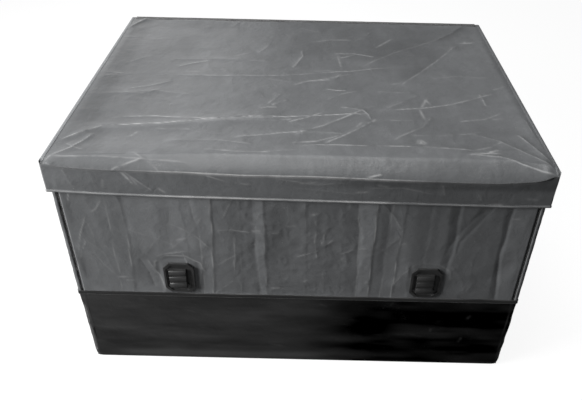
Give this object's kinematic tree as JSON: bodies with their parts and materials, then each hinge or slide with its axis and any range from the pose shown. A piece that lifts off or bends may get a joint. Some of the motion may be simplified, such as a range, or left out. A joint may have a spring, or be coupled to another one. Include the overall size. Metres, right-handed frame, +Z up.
{
  "type": "soft hitch cargo box",
  "caption": "Framed soft cargo box for a hitch platform: skirted lid, zipped drop-down front, black waterproof base and moulded lash loops.",
  "frame": {"origin": "on the ground under the centre of the box", "axes": "+Z up, +X to the right seen from the front, and the zipped front faces -Y"},
  "size_m": [1.2378, 0.9378, 0.71],
  "materials": {
    "shell_fabric": "grey coated woven polyester, low sheen",
    "tarpaulin": "black coated tarpaulin, soft sheen",
    "webbing": "woven polyester tape",
    "zip_tape": "black nylon coil and tape",
    "hook_and_loop": "black napped tape",
    "slider_metal": "black enamel on zinc",
    "pull_cord": "cord with a moulded grip",
    "loop_rubber": "moulded, satin",
    "board_plastic": "textured sheet",
    "frame_tube": "powder coated steel tube",
    "batten_plastic": "pultruded rod",
    "fitting_plastic": "moulded nylon"
  },
  "bodies": {
    "tub": {"floor_tray": "tarpaulin", "band_front": "tarpaulin", "band_back": "tarpaulin", "band_left": "tarpaulin", "band_right": "tarpaulin", "band_hem": "tarpaulin", "side_panel_left": "shell_fabric", "side_panel_right": "shell_fabric", "back_panel": "shell_fabric", "sill_panel": "shell_fabric", "hinge_binding": "webbing", "seam_tapes": "webbing", "wall_zip_halves": "zip_tape", "sill_zip_halves": "zip_tape", "wall_top_zip_halves": "zip_tape", "wall_loop_tapes": "hook_and_loop", "front_lash_loops": "loop_rubber", "back_lash_loops": "loop_rubber", "side_lash_loops": "loop_rubber", "loop_backing_patches": "tarpaulin", "base_board": "board_plastic", "corner_posts": "frame_tube", "long_rails": "frame_tube", "side_rails": "frame_tube", "top_fittings": "fitting_plastic", "base_sockets": "fitting_plastic"},
    "door": {"door_panel": "shell_fabric", "door_zip_halves": "zip_tape", "door_top_zip_half": "zip_tape", "door_loop_tape": "hook_and_loop"},
    "lid": {"lid_panel": "shell_fabric", "lid_skirt_front": "shell_fabric", "lid_skirt_left": "shell_fabric", "lid_skirt_right": "shell_fabric", "skirt_hem": "shell_fabric", "lid_zip_halves": "zip_tape", "skirt_hook_tapes": "hook_and_loop", "lid_battens": "batten_plastic"},
    "side_zip_left": {"side_slider_left": "slider_metal", "side_pull_left": "pull_cord"},
    "side_zip_right": {"side_slider_right": "slider_metal", "side_pull_right": "pull_cord"},
    "lid_zip_left": {"lid_slider_left": "slider_metal", "lid_pull_left": "pull_cord"},
    "lid_zip_right": {"lid_slider_right": "slider_metal", "lid_pull_right": "pull_cord"}
  },
  "joints": [
    {"name": "lid_hinge", "type": "hinge", "parent": "tub", "child": "lid", "pos_m": [0, 0.455, 0.709], "axis": [-1, 0, 0], "range_deg": [0, 105]},
    {"name": "door_hinge", "type": "hinge", "parent": "tub", "child": "door", "pos_m": [0, -0.455, 0.4047], "axis": [1, 0, 0], "range_deg": [0, 150]},
    {"name": "side_zip_left_travel", "type": "slide", "parent": "tub", "child": "side_zip_left", "axis": [0, 0, -1], "range_m": [0, 0.35]},
    {"name": "side_zip_right_travel", "type": "slide", "parent": "tub", "child": "side_zip_right", "axis": [0, 0, -1], "range_m": [0, 0.35]},
    {"name": "lid_zip_left_travel", "type": "slide", "parent": "lid", "child": "lid_zip_left", "axis": [-1, 0, 0], "range_m": [0, 0.54]},
    {"name": "lid_zip_right_travel", "type": "slide", "parent": "lid", "child": "lid_zip_right", "axis": [1, 0, 0], "range_m": [0, 0.54]}
  ]
}
